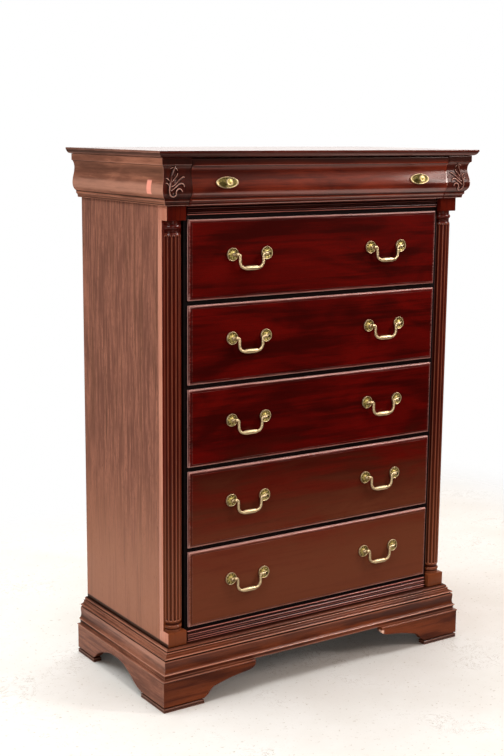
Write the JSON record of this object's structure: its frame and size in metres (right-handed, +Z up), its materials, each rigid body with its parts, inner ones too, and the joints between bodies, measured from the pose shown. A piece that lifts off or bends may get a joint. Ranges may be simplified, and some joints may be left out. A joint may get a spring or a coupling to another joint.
{
  "type": "tall chest of drawers",
  "caption": "Tall mahogany chest of lipped drawers between fluted corner columns, with a hidden frieze drawer under a moulded cornice, brass bail pulls and bracket feet.",
  "frame": {"origin": "on the floor under the middle of the chest", "axes": "+Z up, -Y out of the drawer fronts, +X to the right of a person facing the drawers"},
  "size_m": [0.998, 0.5, 1.4],
  "materials": {
    "top_mahogany": "satin mahogany lacquer",
    "case_mahogany": "dark red mahogany stain, gloss lacquer",
    "side_mahogany": "mahogany stain, satin lacquer, upright grain",
    "base_mahogany": "reddish brown mahogany stain, satin lacquer",
    "drawer_mahogany": "deep red figured mahogany veneer, gloss lacquer",
    "frame_wood": "dark stain on the front edges",
    "drawer_box_wood": "clear sealed light hardwood",
    "back_board": "unfinished board",
    "brass": "polished antique brass"
  },
  "bodies": {
    "case": {"top_board": "top_mahogany", "cornice_left": "case_mahogany", "carved_block_left": "case_mahogany", "side_panel_left": "side_mahogany", "corner_post_left": "case_mahogany", "cornice_right": "case_mahogany", "carved_block_right": "case_mahogany", "side_panel_right": "side_mahogany", "corner_post_right": "case_mahogany", "back_panel": "back_board", "base_moulding": "base_mahogany", "drawer_frame": "frame_wood", "front_foot_left": "base_mahogany", "front_foot_right": "base_mahogany", "rear_foot_left": "base_mahogany", "rear_foot_right": "base_mahogany"},
    "frieze_drawer": {"frieze_drawer_front": "case_mahogany", "frieze_drawer_box": "drawer_box_wood", "frieze_left_knob": "brass", "frieze_right_knob": "brass"},
    "drawer_1_left_bail": {"drawer_1_left_bail": "brass"},
    "drawer_1_right_bail": {"drawer_1_right_bail": "brass"},
    "drawer_1": {"drawer_1_front": "drawer_mahogany", "drawer_1_box": "drawer_box_wood", "drawer_1_left_rosette_outer": "brass", "drawer_1_left_rosette_inner": "brass", "drawer_1_right_rosette_outer": "brass", "drawer_1_right_rosette_inner": "brass"},
    "drawer_2_left_bail": {"drawer_2_left_bail": "brass"},
    "drawer_2_right_bail": {"drawer_2_right_bail": "brass"},
    "drawer_2": {"drawer_2_front": "drawer_mahogany", "drawer_2_box": "drawer_box_wood", "drawer_2_left_rosette_outer": "brass", "drawer_2_left_rosette_inner": "brass", "drawer_2_right_rosette_outer": "brass", "drawer_2_right_rosette_inner": "brass"},
    "drawer_3_left_bail": {"drawer_3_left_bail": "brass"},
    "drawer_3_right_bail": {"drawer_3_right_bail": "brass"},
    "drawer_3": {"drawer_3_front": "drawer_mahogany", "drawer_3_box": "drawer_box_wood", "drawer_3_left_rosette_outer": "brass", "drawer_3_left_rosette_inner": "brass", "drawer_3_right_rosette_outer": "brass", "drawer_3_right_rosette_inner": "brass"},
    "drawer_4_left_bail": {"drawer_4_left_bail": "brass"},
    "drawer_4_right_bail": {"drawer_4_right_bail": "brass"},
    "drawer_4": {"drawer_4_front": "drawer_mahogany", "drawer_4_box": "drawer_box_wood", "drawer_4_left_rosette_outer": "brass", "drawer_4_left_rosette_inner": "brass", "drawer_4_right_rosette_outer": "brass", "drawer_4_right_rosette_inner": "brass"},
    "drawer_5_left_bail": {"drawer_5_left_bail": "brass"},
    "drawer_5_right_bail": {"drawer_5_right_bail": "brass"},
    "drawer_5": {"drawer_5_front": "drawer_mahogany", "drawer_5_box": "drawer_box_wood", "drawer_5_left_rosette_outer": "brass", "drawer_5_left_rosette_inner": "brass", "drawer_5_right_rosette_outer": "brass", "drawer_5_right_rosette_inner": "brass"}
  },
  "joints": [
    {"name": "frieze_drawer_slide", "type": "slide", "parent": "case", "child": "frieze_drawer", "axis": [0, -1, 0], "range_m": [0, 0.3]},
    {"name": "drawer_1_slide", "type": "slide", "parent": "case", "child": "drawer_1", "axis": [0, -1, 0], "range_m": [0, 0.3]},
    {"name": "drawer_1_left_bail_swing", "type": "hinge", "parent": "drawer_1", "child": "drawer_1_left_bail", "pos_m": [-0.217, -0.214, 1.146], "axis": [-1, 0, 0], "range_deg": [-6, 100]},
    {"name": "drawer_1_right_bail_swing", "type": "hinge", "parent": "drawer_1", "child": "drawer_1_right_bail", "pos_m": [0.217, -0.214, 1.146], "axis": [-1, 0, 0], "range_deg": [-6, 100]},
    {"name": "drawer_2_slide", "type": "slide", "parent": "case", "child": "drawer_2", "axis": [0, -1, 0], "range_m": [0, 0.3]},
    {"name": "drawer_2_left_bail_swing", "type": "hinge", "parent": "drawer_2", "child": "drawer_2_left_bail", "pos_m": [-0.217, -0.214, 0.93625], "axis": [-1, 0, 0], "range_deg": [-6, 100]},
    {"name": "drawer_2_right_bail_swing", "type": "hinge", "parent": "drawer_2", "child": "drawer_2_right_bail", "pos_m": [0.217, -0.214, 0.93625], "axis": [-1, 0, 0], "range_deg": [-6, 100]},
    {"name": "drawer_3_slide", "type": "slide", "parent": "case", "child": "drawer_3", "axis": [0, -1, 0], "range_m": [0, 0.3]},
    {"name": "drawer_3_left_bail_swing", "type": "hinge", "parent": "drawer_3", "child": "drawer_3_left_bail", "pos_m": [-0.217, -0.214, 0.7265], "axis": [-1, 0, 0], "range_deg": [-6, 100]},
    {"name": "drawer_3_right_bail_swing", "type": "hinge", "parent": "drawer_3", "child": "drawer_3_right_bail", "pos_m": [0.217, -0.214, 0.7265], "axis": [-1, 0, 0], "range_deg": [-6, 100]},
    {"name": "drawer_4_slide", "type": "slide", "parent": "case", "child": "drawer_4", "axis": [0, -1, 0], "range_m": [0, 0.3]},
    {"name": "drawer_4_left_bail_swing", "type": "hinge", "parent": "drawer_4", "child": "drawer_4_left_bail", "pos_m": [-0.217, -0.214, 0.51675], "axis": [-1, 0, 0], "range_deg": [-6, 100]},
    {"name": "drawer_4_right_bail_swing", "type": "hinge", "parent": "drawer_4", "child": "drawer_4_right_bail", "pos_m": [0.217, -0.214, 0.51675], "axis": [-1, 0, 0], "range_deg": [-6, 100]},
    {"name": "drawer_5_slide", "type": "slide", "parent": "case", "child": "drawer_5", "axis": [0, -1, 0], "range_m": [0, 0.3]},
    {"name": "drawer_5_left_bail_swing", "type": "hinge", "parent": "drawer_5", "child": "drawer_5_left_bail", "pos_m": [-0.217, -0.214, 0.307], "axis": [-1, 0, 0], "range_deg": [-6, 100]},
    {"name": "drawer_5_right_bail_swing", "type": "hinge", "parent": "drawer_5", "child": "drawer_5_right_bail", "pos_m": [0.217, -0.214, 0.307], "axis": [-1, 0, 0], "range_deg": [-6, 100]}
  ]
}
